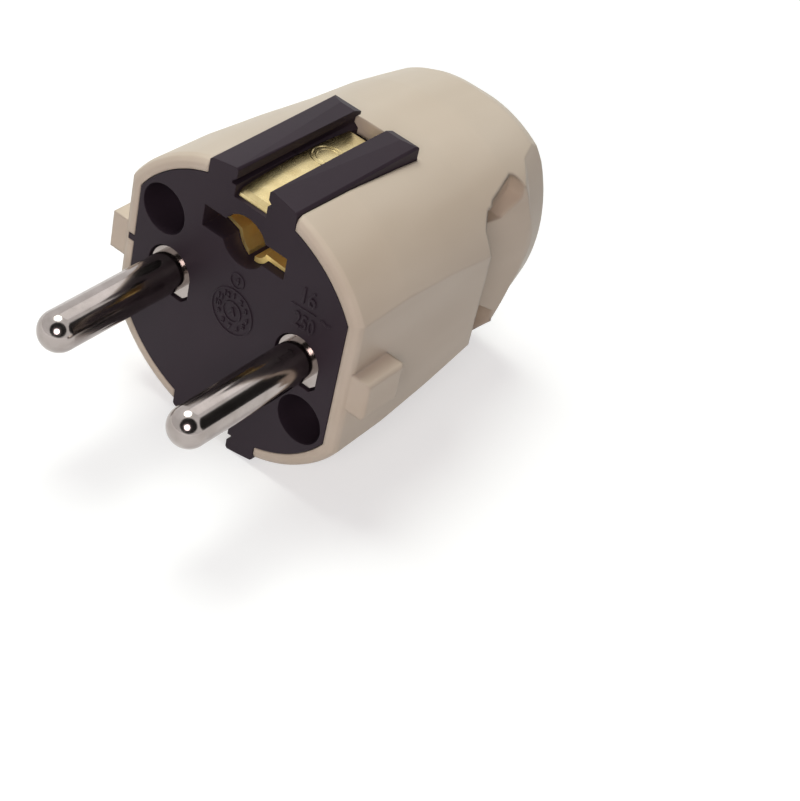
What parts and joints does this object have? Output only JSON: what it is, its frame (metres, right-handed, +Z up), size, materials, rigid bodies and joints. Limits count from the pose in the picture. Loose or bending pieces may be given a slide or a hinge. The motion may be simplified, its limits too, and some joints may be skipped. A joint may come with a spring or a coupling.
{
  "type": "type f plug",
  "caption": "Rewireable earthed mains plug: two round pins, a socket for an earth pin, spring earth strips in top and bottom grooves, side lugs and a cover with finger scoops.",
  "frame": {"origin": "centre of the engagement face, midway between the two pins", "axes": "+X along the pin pair, +Y along the plug axis towards the cord end (the pins point to -Y), +Z up towards the earth socket"},
  "size_m": [0.038, 0.0595, 0.0362],
  "materials": {
    "cover_plastic": "glossy cream moulding",
    "insert_plastic": "satin dark moulding",
    "plated_pin": "nickel plated",
    "screw_steel": "zinc plated",
    "contact_brass": "stamped brass"
  },
  "bodies": {
    "root": {"cover": "cover_plastic", "insert": "insert_plastic", "rear_carrier": "insert_plastic", "cord_clamp": "insert_plastic", "pin_left": "plated_pin", "pin_right": "plated_pin", "terminal_screw_left": "screw_steel", "terminal_screw_right": "screw_steel", "cover_screw_upper": "screw_steel", "cover_screw_lower": "screw_steel", "threaded_bush_upper": "contact_brass", "threaded_bush_lower": "contact_brass", "earth_strap": "contact_brass", "earth_socket": "contact_brass", "earth_terminal_screw": "screw_steel", "earth_washer": "screw_steel", "carrier_screw_left": "screw_steel", "carrier_screw_right": "screw_steel", "clamp_screw_left": "screw_steel", "clamp_screw_right": "screw_steel", "clamp_nut_left": "screw_steel", "clamp_nut_right": "screw_steel"}
  },
  "joints": []
}
